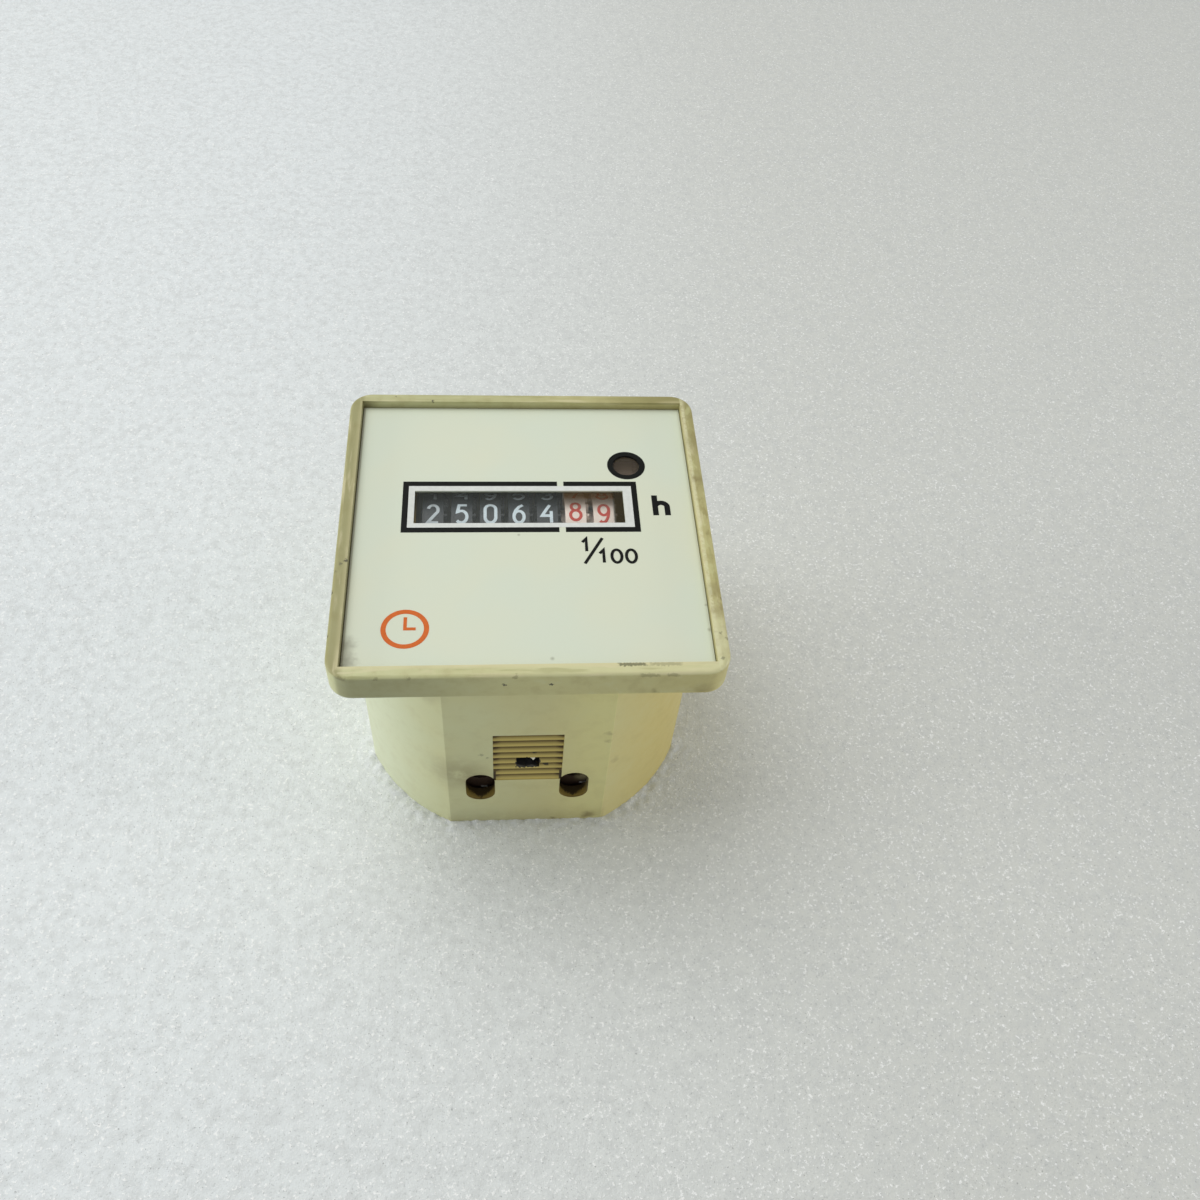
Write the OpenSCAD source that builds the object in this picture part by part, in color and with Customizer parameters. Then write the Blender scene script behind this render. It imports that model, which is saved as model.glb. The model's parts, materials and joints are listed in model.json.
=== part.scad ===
// Panel hour meter: square bezel on a flatted round body, seven-wheel counter driven by a small motor.
// It lies on its back. The face looks along +Z, the top of the face is +Y, and Z is 0 at the back.

/* [Bezel] */
// Side of the square bezel
bezel_w = 48; // [46:0.5:60]
// Thickness of the bezel
bezel_t = 4.2; // [4:0.1:7]
// Radius of the bezel's corners
bezel_corner_r = 3; // [1.5:0.1:5]
// Radius of the bezel's front edge
bezel_edge_r = 0.5; // [0.2:0.1:1]
// Width of the raised rim
rim_w = 1.65; // [1.2:0.05:1.7]
// Depth of the face below the rim
face_drop = 1.2; // [0.6:0.1:1.4]

/* [Body] */
// Diameter of the round body
body_d = 49.6; // [49:0.1:56]
// Distance across the body's flats
flat_span = 44.6; // [44:0.1:46]
// Depth of the body behind the bezel
body_depth = 36.2; // [36:0.1:48]
// Thickness of the body's wall
wall = 1.8; // [1.4:0.1:1.9]

/* [Catch racks] */
// Width of a rack
rack_w = 9.3; // [6:0.1:12]
// Height of one rib
rib_pitch = 1.475; // [1.2:0.025:1.6]
// Number of ribs
rib_count = 8; // [5:1:8]
// Depth of a rack in the flat
rack_depth = 0.8; // [0.4:0.05:1]
// Depth of the first rib behind the bezel
rack_start = 12.2; // [8:0.1:14]

/* [Wire slots] */
// Width of a wire slot
slot_w = 4; // [3:0.1:5]
// Height of a wire slot
slot_h = 7.1; // [5:0.1:8]
// Distance of a wire slot from the middle
slot_x = 6.45; // [6:0.05:7.5]
// Height of a wire slot's middle above the back
slot_z = 10.25; // [9.5:0.05:11]

/* [Break in the ribs] */
// Width of the break
break_w = 3.1; // [1.5:0.1:4]
// Height of the break
break_h = 2.7; // [1.5:0.1:3.5]
// Depth of the break's middle behind the bezel
break_start = 19.55; // [17:0.05:21]

/* [Dial] */
// Thickness of the clear pane
pane_t = 1.2; // [0.8:0.1:1.6]
// Thickness of the printed film
foil_t = 0.25; // [0.1:0.05:0.4]
// Gap between the pane and the rim
pane_gap = 0.1; // [0.05:0.05:0.2]
// Width of the counter window
window_w = 27.65; // [26:0.05:28]
// Height of the counter window
window_h = 5.7; // [4:0.1:7]
// Middle of the counter window, to the right
window_x = -0.8; // [-2:0.05:1]
// Middle of the counter window, upwards
window_y = 3.55; // [2:0.05:5]
// Diameter of the indicator window
eye_d = 3.65; // [2:0.05:5]
// Middle of the indicator window, to the right
eye_x = 13.86; // [13:0.02:15]
// Middle of the indicator window, upwards
eye_y = 11.12; // [10:0.02:12]

/* [Counter] */
// Diameter of a number wheel
wheel_d = 14; // [13:0.1:14.4]
// Distance from wheel to wheel
wheel_pitch = 3.8; // [3.7:0.01:3.9]
// Width of the rim that carries the digits
digit_rim_w = 2.8; // [2.6:0.05:2.85]
// Thickness of that rim
digit_rim_t = 0.6; // [0.4:0.05:0.9]
// Middle of the last wheel, to the right
last_wheel_x = 10.5; // [10:0.05:10.6]
// Height of the wheels' axis on the face
wheel_y = 4.65; // [4.3:0.05:4.8]
// Gap between the wheels and the pane
wheel_gap = 0.45; // [0.3:0.05:0.8]
// Thickness of a wheel's web
web_t = 0.9; // [0.6:0.1:1.2]
// Diameter of a wheel's hub
hub_d = 3.4; // [3:0.1:4]
// Width of a wheel's toothed ring
ring_w = 0.45; // [0.4:0.01:0.48]
// Width of a wheel's carry disc
carry_w = 0.42; // [0.35:0.01:0.45]
// Height of the two carry teeth
carry_tooth_h = 0.7; // [0.4:0.05:0.9]
// Diameter of the wheel shaft
wheel_shaft_d = 1.5; // [1.2:0.05:1.8]
// Diameter of the pinion shaft
pinion_shaft_d = 1.2; // [1:0.05:1.25]
// Direction from the wheel axis to the pinion shaft, in degrees from +Y towards +Z
pinion_angle = 210; // [207:1:213]

/* [Teeth] */
// Tooth module of the counter
counter_module = 0.6; // [0.58:0.01:0.61]
// Tooth module of the gear train
gear_module = 0.25; // [0.245:0.005:0.25]
// Share of a tooth taken off for play
tooth_play = 0.15; // [0.1:0.01:0.2]

/* [Gear train] */
// Thickness of a large gear
gear_t = 0.7; // [0.5:0.05:0.75]
// Distance from gear to gear along their pins
gear_step = 1; // [0.95:0.05:1.1]
// Gap between the last wheel and the drive gear
gear_gap = 0.6; // [0.5:0.05:0.8]
// Diameter of a gear pin
pin_d = 1; // [0.8:0.05:1]
// Wall of a gear's hub
gear_hub_t = 0.3; // [0.2:0.05:0.3]
// Running clearance on a shaft or pin
running_gap = 0.05; // [0.03:0.01:0.06]
// Clearance of a fixed pin in its hole
fixed_gap = 0.02; // [0.01:0.01:0.03]
// Diameter of the indicator drum
drum_d = 7.6; // [7.2:0.1:7.8]
// Gap between the last wheel and the indicator drum
drum_gap = 0.1; // [0.05:0.05:0.5]
// Height of the indicator drum's axis on the face
drum_y = 12; // [11.5:0.1:12.2]
// Height of the second gear's axis on the face
gear_2_y = 8.9; // [8.5:0.1:9]

/* [Motor] */
// Diameter of the motor
motor_d = 19; // [18:0.1:19]
// Length of the motor
motor_len = 18.2; // [16:0.1:19]
// Thickness of the motor's cups
cup_t = 0.8; // [0.6:0.1:1]
// Height of the motor's axis on the face
motor_y = 2.4; // [2:0.1:2.6]
// Depth of the motor's axis behind the wheels' axis
motor_drop = 17.9; // [17.5:0.1:18]
// Diameter of the magnet
magnet_d = 7.8; // [7:0.1:8]
// Length of the magnet
magnet_len = 12; // [8:0.5:13]
// Claw poles on each cup
claw_count = 12; // [8:1:12]
// Diameter of the rotor shaft
rotor_shaft_d = 1.2; // [1:0.05:1.2]
// Gap between the winding and the cups
coil_gap = 0.5; // [0.3:0.1:1.5]
// Diameter of a motor pillar
pillar_d = 2; // [1.6:0.1:2.4]

/* [Chassis] */
// Thickness of the chassis sheet
sheet_t = 0.8; // [0.6:0.1:1]
// Gap between an arm and the wheels or gears beside it
arm_gap = 0.4; // [0.3:0.05:0.7]
// Clearance of the chassis and the terminals in the body
shell_gap = 0.6; // [0.3:0.1:1]
// Sheet left below the pinion shaft
arm_margin = 5; // [2:0.5:8]

/* [Back] */
// Thickness of the rear cover
cover_t = 2; // [1.6:0.1:2.4]
// Gap between the rear cover and the wall
cover_gap = 0.1; // [0.05:0.05:0.2]
// Diameter of a cover screw's shank
cover_screw_d = 2.2; // [1.8:0.1:2.5]
// Diameter of a cover screw's head
cover_head_d = 3.6; // [3:0.1:3.8]
// Width of cover left outside a screw's head
cover_edge = 0.6; // [0.4:0.1:1.5]
// Width of a terminal
terminal_w = 5.4; // [5:0.1:6]
// Length of a terminal
terminal_len = 6; // [5:0.1:6.5]
// Height of a terminal
terminal_h = 8.6; // [8.4:0.1:9.5]
// Height of the seat that a terminal stands on
terminal_seat = 3; // [2.5:0.1:3.2]
// Diameter of the wire hole
wire_d = 3.2; // [2:0.1:3.4]
// Diameter of a terminal screw's shank
terminal_screw_d = 3; // [2.5:0.1:3]
// Diameter of a terminal screw's head
terminal_head_d = 5; // [4.4:0.1:5.2]

/* [Hidden] */
$fn = 64;

// Colours
ivory = [0.74, 0.72, 0.53];
pale = [0.83, 0.86, 0.79];
steel = [0.70, 0.71, 0.72];
brass = [0.78, 0.64, 0.32];
black = [0.15, 0.16, 0.17];
white = [0.86, 0.80, 0.74];

// Overlap of a cut with the face that it opens
eps = 0.5;

// Levels from the back to the front
seat_z = body_depth;
top_z = seat_z + bezel_t;
face_z = top_z - face_drop;
pane_z = face_z - foil_t - pane_t;

// The body's section and the cavity in it
body_r = body_d / 2;
flat_y = flat_span / 2;
cavity_r = body_r - wall;
cavity_y = flat_y - wall;
recess_w = bezel_w - 2 * rim_w;
pane_w = recess_w - 2 * pane_gap;

// Ribs of a rack
groove_h = 0.44;
rib_tip_depth = 0.12;

// Wheels and teeth, as the decimal carry and the ratio from the motor need them
wheel_count = 7;
white_wheels = 2;
ring_teeth = 20;
carry_teeth = 8;
gear_teeth = 50;
drive_teeth = 48;
leaf_teeth = 10;
drum_teeth = 28;

// Tooth form, in modules above and below the pitch circle
tooth_tip = 0.8;
tooth_root = 1.25;
tip_share = 0.4;
root_share = 1.15;

// Axes that run along X, each as [y, z]
wheel_r = wheel_d / 2;
wheel_axis = [wheel_y, pane_z - wheel_gap - wheel_r];
carry_reach = (ring_teeth + carry_teeth) * counter_module / 2;
pinion_axis = wheel_axis + polar(carry_reach, pinion_angle);
motor_axis = [motor_y, wheel_axis[1] - motor_drop];
drum_axis = [drum_y, pane_z - wheel_gap - drum_d / 2];
drum_reach = (gear_teeth + drum_teeth) * gear_module / 2;
gear_2_axis = [gear_2_y, drum_axis[1] - sqrt(pow(drum_reach, 2) - pow(drum_y - gear_2_y, 2))];
gear_reach = (gear_teeth + leaf_teeth) * gear_module / 2;
drive_reach = (drive_teeth + leaf_teeth) * gear_module / 2;
gear_1_axis = meet(motor_axis, gear_reach, gear_2_axis, gear_reach, -1);
gear_3_axis = meet(gear_2_axis, gear_reach, pinion_axis, drive_reach, 1);

// Digits that show at rest, the last wheel first
reading = [9, 8, 4, 6, 0, 5, 2];
digits = 10;
wheel_r_in = wheel_r - digit_rim_t;
carry_tip_r = carry_reach - (carry_teeth / 2 + tooth_tip) * counter_module - 2 * running_gap;
carry_disc_r = carry_tip_r - carry_tooth_h;
carry_tooth_w = 0.7;

// Gear planes, numbered from the right arm inwards
last_plane = 4;
gear_x = wheel_x(1) + wheel_pitch / 2 + gear_gap;
leaf_overlap = 0.1;
gear_hub_d = pin_d + 2 * (running_gap + gear_hub_t);
clip_t = 0.25;
clip_wall = 0.35;
end_play = 0.05;
sleeve_d = pinion_shaft_d + 1;
collar_t = 0.4;
collar_wall = 0.4;

// Chassis
left_arm_x = wheel_x(wheel_count) - wheel_pitch / 2 - arm_gap;
right_arm_x = plane_x(1) + gear_t + arm_gap;
tab_w = 3;
tab_h = 1.2;

// Motor
motor_r = motor_d / 2;
half_len = motor_len / 2;
claw_t = 0.5;
claw_w = 0.8;
claw_gap = 0.4;
claw_in_r = magnet_d / 2 + claw_gap;
claw_end_gap = 1;
bearing_wall = 1;
bearing_h = 0.6;
spool_gap = 0.15;
spool_in_r = claw_in_r + claw_t + spool_gap;
spool_r = spool_in_r + 0.65;
flange_t = 0.7;
flange_x = half_len - cup_t - spool_gap;
lead_tab_w = 5;
lead_tab_r = motor_r + 1.1;
lead_tab_gap = 0.2;
pillar_angles = [150, 210, 300];
pillar_inset = 0.5;
pillar_ring_r = motor_r - pillar_d / 2 - pillar_inset;

// Back
cover_seat_z = cover_t / 2;
boss_h = 12;
boss_floor = 1;
boss_reach = cavity_r - 2 * cover_gap - cover_head_d / 2 - cover_edge;
boss_r = cavity_r - boss_reach + wall / 6;
boss_places = [[-1, 1], [1, -1]];
boss_side = boss_reach / sqrt(2) - boss_r - shell_gap;
terminal_y = -wall_y(slot_x + terminal_w / 2) + shell_gap + terminal_len / 2;
terminal_z = cover_t + terminal_seat;
terminal_floor = 1.8;
seat_edge = 0.3;
head_seat_z = terminal_z - terminal_floor;
terminal_head_t = 1.4;
driver_gap = 0.3;
tail_h = 1.6;

function polar(r, a) = [r * cos(a), r * sin(a)];

function angle_to(a, b) = atan2(b[1] - a[1], b[0] - a[0]);

// The point at distance ra from a and rb from b, left (1) or right (-1) of the way from a to b
function meet(a, ra, b, rb, side) =
    let (d = norm(b - a), u = (b - a) / d)
    let (s = (d * d + ra * ra - rb * rb) / (2 * d), h = sqrt(ra * ra - s * s))
    a + s * u + side * h * [-u[1], u[0]];

// Inner side of the body's wall at the distance x from the middle
function wall_y(x) = min(cavity_y, sqrt(pow(cavity_r, 2) - x * x));

function wheel_x(k) = last_wheel_x - (k - 1) * wheel_pitch;

function plane_x(i) = gear_x + (last_plane - i) * gear_step;

function drum_start() = wheel_x(1) + wheel_pitch / 2 + drum_gap;

// Moves a shape that is drawn in Y and Z, and extruded along X, to its axis
module along_x(x, axis) {
    translate([x, axis[0], axis[1]])
        rotate([90, 0, 90])
            children();
}

module rod(x0, x1, axis, d) {
    along_x(x0, axis)
        cylinder(d = d, h = x1 - x0);
}

// Toothed outline with a tooth at the angle first; with every = 2 each other tooth is left out
module teeth_2d(teeth, size, first, every = 1) {
    pitch_r = teeth * size / 2;
    half = 90 / teeth * (1 - tooth_play);
    foot = [pitch_r - tooth_root * size, root_share * half];
    flank = [pitch_r, half];
    tip = [pitch_r + tooth_tip * size, tip_share * half];
    side = [foot, flank, tip];
    polygon([
        for (i = [0 : every : teeth - 1])
            let (a = first + i * 360 / teeth)
            each concat(
                [for (p = side) polar(p[0], a - p[1])],
                [for (j = [2, 1, 0]) polar(side[j][0], a + side[j][1])]
            )
    ]);
}

// Circle of radius r with four flats at distance flat from the middle
module flatted(r, flat) {
    intersection() {
        circle(r, $fn = 128);
        square(2 * flat, center = true);
    }
}

// Section of the bezel's edge, from the corner's centre outwards, with a rounded front edge
module bezel_edge() {
    steps = 5;
    polygon(concat(
        [[0, bezel_t], [0, 0], [bezel_corner_r, 0]],
        [
            for (i = [0 : steps])
                [bezel_corner_r - bezel_edge_r, bezel_t - bezel_edge_r]
                    + polar(bezel_edge_r, 90 * i / steps)
        ]
    ));
}

module bezel_block() {
    side = bezel_w - 2 * bezel_corner_r;
    translate([-side / 2, -side / 2, 0])
        cube([side, side, bezel_t]);
    for (a = [0 : 90 : 270])
        rotate(a) {
            translate([side / 2, side / 2, 0])
                rotate([90, 0, 0])
                    linear_extrude(side)
                        bezel_edge();
            translate([side / 2, side / 2, 0])
                rotate_extrude(angle = 90)
                    bezel_edge();
        }
}

// Ribbed recess in the flat on the side y < 0
module rack_cut() {
    top = seat_z - rack_start;
    translate([-rack_w / 2, -flat_y, top])
        rotate([90, 0, 90])
            linear_extrude(rack_w)
                polygon(concat(
                    [[-eps, -rib_count * rib_pitch], [-eps, 0]],
                    [
                        for (i = [0 : rib_count - 1])
                            each [
                                [rack_depth, -i * rib_pitch],
                                [rack_depth, -i * rib_pitch - groove_h],
                                [rib_tip_depth, -(i + 1) * rib_pitch]
                            ]
                    ]
                ));
}

// Ragged hole through the ribs
module break_cut() {
    w = break_w / 2;
    h = break_h / 2;
    translate([0, -flat_y + wall + eps, seat_z - break_start])
        rotate([90, 0, 0])
            linear_extrude(wall + 2 * eps)
                polygon([
                    [-w, h], [w * 0.3, h], [w * 0.5, h * 0.85], [w * 0.7, h], [w, h],
                    [w, -h], [w * 0.35, -h * 0.75], [-w * 0.2, -h * 0.9], [-w, -h * 0.7]
                ]);
}

module slot_cut(x) {
    reach = slot_h / 2 - slot_w / 2;
    translate([x, -flat_y + wall + eps, slot_z])
        rotate([90, 0, 0])
            linear_extrude(wall + 2 * eps) {
                square([slot_w, 2 * reach], center = true);
                for (s = [-1, 1])
                    translate([0, s * reach])
                        circle(d = slot_w);
            }
}

module at_bosses() {
    for (p = boss_places)
        translate([p[0] * boss_reach / sqrt(2), p[1] * boss_reach / sqrt(2), 0])
            children();
}

module housing() {
    color(ivory)
        difference() {
            union() {
                difference() {
                    union() {
                        translate([0, 0, seat_z])
                            bezel_block();
                        linear_extrude(seat_z + bezel_t / 2)
                            flatted(body_r, flat_y);
                    }
                    translate([0, 0, -eps])
                        linear_extrude(top_z + 2 * eps)
                            flatted(cavity_r, cavity_y);
                    translate([-recess_w / 2, -recess_w / 2, pane_z])
                        cube([recess_w, recess_w, top_z]);
                }
                intersection() {
                    translate([0, 0, cover_t])
                        at_bosses()
                            cylinder(r = boss_r, h = boss_h);
                    linear_extrude(seat_z)
                        flatted(body_r - wall / 2, flat_y - wall / 2);
                }
            }
            at_bosses()
                cylinder(d = cover_screw_d + 2 * fixed_gap, h = cover_t + boss_h - boss_floor);
            rack_cut();
            rotate(180)
                rack_cut();
            break_cut();
            slot_cut(slot_x);
            slot_cut(-slot_x);
        }
}

module rear_cover() {
    seat_w = terminal_w + 2 * seat_edge;
    seat_len = terminal_len + 2 * seat_edge;
    color(ivory)
        difference() {
            union() {
                linear_extrude(cover_t)
                    flatted(cavity_r - cover_gap, cavity_y - cover_gap);
                for (s = [-1, 1])
                    translate([s * slot_x - seat_w / 2, terminal_y - seat_len / 2, cover_seat_z])
                        cube([seat_w, seat_len, terminal_z - cover_seat_z]);
            }
            at_bosses() {
                translate([0, 0, -eps])
                    cylinder(d = cover_screw_d + 2 * fixed_gap, h = cover_t + 2 * eps);
                translate([0, 0, -eps])
                    cylinder(d = cover_head_d + 2 * cover_gap, h = cover_seat_z + eps);
            }
            for (s = [-1, 1])
                translate([s * slot_x, terminal_y, -eps]) {
                    cylinder(d = terminal_head_d + 2 * driver_gap, h = head_seat_z + eps);
                    cylinder(d = terminal_screw_d + 2 * fixed_gap, h = terminal_z + 2 * eps);
                }
        }
}

// Screw along +Z with its head's underside at z = 0 and a slot in the head
module slotted_screw(d, head_d, head_t, len) {
    slot = head_d / 6;
    difference() {
        union() {
            translate([0, 0, -head_t])
                cylinder(d = head_d, h = head_t);
            translate([0, 0, -head_t / 2])
                cylinder(d = d, h = len + head_t / 2);
        }
        translate([-head_d, -slot / 2, -head_t - eps])
            cube([2 * head_d, slot, eps + head_t / 2]);
    }
}

module cover_screws() {
    color(steel)
        at_bosses()
            translate([0, 0, cover_seat_z])
                slotted_screw(cover_screw_d, cover_head_d, cover_seat_z - cover_gap, boss_h - boss_floor);
}

module front_pane() {
    color(pale, 0.4)
        translate([-pane_w / 2, -pane_w / 2, pane_z])
            cube([pane_w, pane_w, pane_t]);
}

module dial_foil() {
    color(pale)
        translate([0, 0, pane_z + pane_t])
            linear_extrude(foil_t)
                difference() {
                    square(pane_w, center = true);
                    translate([window_x, window_y])
                        square([window_w, window_h], center = true);
                    translate([eye_x, eye_y])
                        circle(d = eye_d);
                }
}

// Side plate of the chassis in Y and Z, with its two tabs against the pane
module arm_2d(y0, y1) {
    front = pane_z - tab_h;
    translate([y0, cover_t])
        square([y1 - y0, front - cover_t]);
    for (y = [y0, y1 - tab_w])
        translate([y, front - tab_h])
            square([tab_w, 2 * tab_h - end_play]);
}

module chassis() {
    low = pinion_axis[0] - arm_margin;
    high = wall_y(right_arm_x + sheet_t) - shell_gap;
    color(steel)
        difference() {
            union() {
                translate([left_arm_x - sheet_t, low, cover_t])
                    cube([right_arm_x - left_arm_x + 2 * sheet_t, boss_side - low, sheet_t]);
                along_x(left_arm_x - sheet_t, [0, 0])
                    linear_extrude(sheet_t)
                        arm_2d(low, boss_side);
                along_x(right_arm_x, [0, 0])
                    linear_extrude(sheet_t)
                        arm_2d(-boss_side, high);
            }
            for (x = [left_arm_x - sheet_t, right_arm_x]) {
                rod(x - eps, x + sheet_t + eps, wheel_axis, wheel_shaft_d + 2 * fixed_gap);
                rod(x - eps, x + sheet_t + eps, pinion_axis, pinion_shaft_d + 2 * fixed_gap);
            }
            rod(right_arm_x - eps, right_arm_x + sheet_t + eps, motor_axis, rotor_shaft_d + 2 * running_gap);
            for (axis = [gear_1_axis, gear_2_axis, gear_3_axis, drum_axis])
                rod(right_arm_x - eps, right_arm_x + sheet_t + eps, axis, pin_d + 2 * fixed_gap);
        }
}

module wheel_shaft() {
    collar_x = wheel_x(1) + wheel_pitch / 2 + end_play;
    color(steel) {
        rod(left_arm_x - sheet_t, right_arm_x + sheet_t, wheel_axis, wheel_shaft_d);
        rod(collar_x, collar_x + collar_t, wheel_axis, wheel_shaft_d + 2 * collar_wall);
    }
}

module number_wheel(k) {
    half = digit_rim_w / 2;
    carry_angle = pinion_angle + (digits - 0.5 - reading[k - 1]) * 360 / digits;
    color(k <= white_wheels ? white : black)
        along_x(wheel_x(k), wheel_axis)
            difference() {
                union() {
                    translate([0, 0, -half])
                        linear_extrude(digit_rim_w)
                            difference() {
                                circle(wheel_r);
                                circle(wheel_r_in);
                            }
                    translate([0, 0, half - web_t])
                        cylinder(r = wheel_r - digit_rim_t / 2, h = web_t);
                    translate([0, 0, half - web_t / 2])
                        linear_extrude(web_t / 2 + ring_w)
                            teeth_2d(ring_teeth, counter_module, pinion_angle + 180 / ring_teeth);
                    translate([0, 0, -half - carry_w])
                        linear_extrude(carry_w + web_t) {
                            circle(carry_disc_r);
                            for (s = [-1, 1])
                                rotate(carry_angle + s * 180 / ring_teeth)
                                    translate([0, -carry_tooth_w / 2])
                                        square([carry_tip_r, carry_tooth_w]);
                        }
                    translate([0, 0, -wheel_pitch / 2 + end_play / 2])
                        cylinder(d = hub_d, h = wheel_pitch - end_play);
                }
                translate([0, 0, -wheel_pitch])
                    cylinder(d = wheel_shaft_d + 2 * running_gap, h = 2 * wheel_pitch);
            }
}

module pinion_shaft() {
    collar_x = plane_x(last_plane) + gear_t + end_play;
    collar_end = plane_x(last_plane - 1) - end_play;
    color(steel) {
        rod(left_arm_x - sheet_t, right_arm_x + sheet_t, pinion_axis, pinion_shaft_d);
        rod(collar_x, collar_end, pinion_axis, pinion_shaft_d + 2 * collar_wall);
    }
}

// Pinion between wheel k and wheel k + 1: all its teeth reach the ring, each other one the carry disc
module transfer_pinion(k) {
    x0 = wheel_x(k + 1) + digit_rim_w / 2 + end_play;
    width = wheel_pitch - digit_rim_w - 2 * end_play;
    color(steel)
        difference() {
            union() {
                along_x(x0, pinion_axis)
                    linear_extrude(ring_w)
                        teeth_2d(carry_teeth, counter_module, pinion_angle + 180);
                along_x(x0, pinion_axis)
                    linear_extrude(width)
                        teeth_2d(carry_teeth, counter_module, pinion_angle + 180, 2);
                rod(x0 + width - wheel_pitch + end_play, x0 + width, pinion_axis, sleeve_d);
            }
            rod(x0 - wheel_pitch, x0 + wheel_pitch, pinion_axis, pinion_shaft_d + 2 * running_gap);
        }
}

module drive_gear() {
    leaf_x = wheel_x(1) + digit_rim_w / 2 + end_play;
    hub_x = wheel_x(1) - digit_rim_w / 2;
    gear_end = plane_x(last_plane) + gear_t;
    color(white)
        difference() {
            union() {
                along_x(plane_x(last_plane), pinion_axis)
                    linear_extrude(gear_t)
                        teeth_2d(
                            drive_teeth, gear_module,
                            angle_to(pinion_axis, gear_3_axis) + 180 / drive_teeth
                        );
                along_x(leaf_x, pinion_axis)
                    linear_extrude(plane_x(last_plane) + gear_t / 2 - leaf_x)
                        teeth_2d(carry_teeth, counter_module, pinion_angle + 180);
                rod(hub_x, gear_end, pinion_axis, sleeve_d);
            }
            rod(hub_x - eps, gear_end + eps, pinion_axis, pinion_shaft_d + 2 * running_gap);
        }
}

// Gear in plane i on the axis at, driven from the axis before it and driving the axis after it
module compound_gear(i, at, before, after) {
    gear_start = plane_x(i);
    leaf_start = gear_start - gear_step - leaf_overlap;
    color(brass)
        difference() {
            union() {
                along_x(gear_start, at)
                    linear_extrude(gear_t)
                        teeth_2d(gear_teeth, gear_module, angle_to(at, before) + 180 / gear_teeth);
                along_x(leaf_start, at)
                    linear_extrude(gear_start + gear_t / 2 - leaf_start)
                        teeth_2d(leaf_teeth, gear_module, angle_to(at, after));
                rod(leaf_start, right_arm_x - end_play, at, gear_hub_d);
            }
            rod(leaf_start - eps, right_arm_x + eps, at, pin_d + 2 * running_gap);
        }
}

module gear_1() {
    compound_gear(1, gear_1_axis, motor_axis, gear_2_axis);
}

module gear_2() {
    compound_gear(2, gear_2_axis, gear_1_axis, gear_3_axis);
}

module gear_3() {
    compound_gear(3, gear_3_axis, gear_2_axis, pinion_axis);
}

// Pin that is riveted in the right arm, with a clip at its free end
module gear_pin(axis, free_x) {
    clip_d = pin_d + 2 * clip_wall;
    rod(free_x, right_arm_x + sheet_t + clip_t / 2, axis, pin_d);
    rod(free_x, free_x + clip_t, axis, clip_d);
    rod(right_arm_x + sheet_t, right_arm_x + sheet_t + clip_t, axis, clip_d);
}

module gear_pins() {
    leaf_reach = gear_step + leaf_overlap + end_play + clip_t;
    color(steel) {
        gear_pin(gear_1_axis, plane_x(1) - leaf_reach);
        gear_pin(gear_2_axis, plane_x(2) - leaf_reach);
        gear_pin(gear_3_axis, plane_x(3) - leaf_reach);
        gear_pin(drum_axis, drum_start() - end_play - clip_t);
    }
}

// Striped drum behind the round window, turned by gear 2
module indicator_drum() {
    gear_start = plane_x(2);
    to_drum = angle_to(gear_2_axis, drum_axis);
    gear_2_first = angle_to(gear_2_axis, gear_1_axis) + 180 / gear_teeth;
    ahead = gear_2_first - to_drum;
    first = to_drum + 180 - ahead * gear_teeth / drum_teeth + 180 / drum_teeth;
    color(white)
        difference() {
            union() {
                along_x(gear_start - leaf_overlap, drum_axis)
                    linear_extrude(gear_t + leaf_overlap)
                        teeth_2d(drum_teeth, gear_module, first);
                rod(drum_start(), gear_start - leaf_overlap / 2, drum_axis, drum_d);
                rod(gear_start, right_arm_x - end_play, drum_axis, gear_hub_d);
            }
            rod(drum_start() - eps, right_arm_x + eps, drum_axis, pin_d + 2 * running_gap);
        }
}

// Cup with its closed end at the left, drawn along +Z from that end
module stator_cup(first_claw) {
    claw_len = motor_len - 2 * (cup_t + claw_end_gap);
    difference() {
        union() {
            difference() {
                cylinder(r = motor_r, h = half_len);
                translate([0, 0, cup_t])
                    cylinder(r = motor_r - cup_t, h = half_len);
            }
            for (i = [0 : claw_count - 1])
                rotate(first_claw + i * 360 / claw_count)
                    translate([claw_in_r, -claw_w / 2, cup_t / 2])
                        cube([claw_t, claw_w, claw_len]);
            cylinder(d = rotor_shaft_d + 2 * bearing_wall, h = cup_t + bearing_h);
        }
        translate([0, 0, -eps])
            cylinder(d = rotor_shaft_d + 2 * running_gap, h = half_len);
        translate([-motor_r - eps, -lead_tab_w / 2 - lead_tab_gap, cup_t + lead_tab_gap / 2])
            cube([motor_r / 2, lead_tab_w + 2 * lead_tab_gap, flange_t + 2 * lead_tab_gap]);
    }
}

module stator_cup_left() {
    color(steel)
        along_x(-half_len, motor_axis)
            stator_cup(0);
}

module stator_cup_right() {
    color(steel)
        translate([0, motor_axis[0], motor_axis[1]])
            mirror([1, 0, 0])
                along_x(-half_len, [0, 0])
                    stator_cup(180 / claw_count);
}

module bobbin() {
    color(black)
        along_x(0, motor_axis)
            difference() {
                union() {
                    translate([0, 0, -flange_x])
                        cylinder(r = spool_r, h = 2 * flange_x);
                    for (z = [-flange_x, flange_x - flange_t])
                        translate([0, 0, z])
                            linear_extrude(flange_t) {
                                circle(motor_r - cup_t - spool_gap);
                                translate([-lead_tab_r, -lead_tab_w / 2])
                                    square([lead_tab_r, lead_tab_w]);
                            }
                }
                translate([0, 0, -half_len])
                    cylinder(r = spool_in_r, h = motor_len);
            }
}

module coil() {
    len = 2 * (flange_x - flange_t);
    color([0.62, 0.28, 0.12])
        along_x(-len / 2, motor_axis)
            linear_extrude(len)
                difference() {
                    circle(motor_r - cup_t - coil_gap);
                    circle(spool_r);
                }
}

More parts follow.
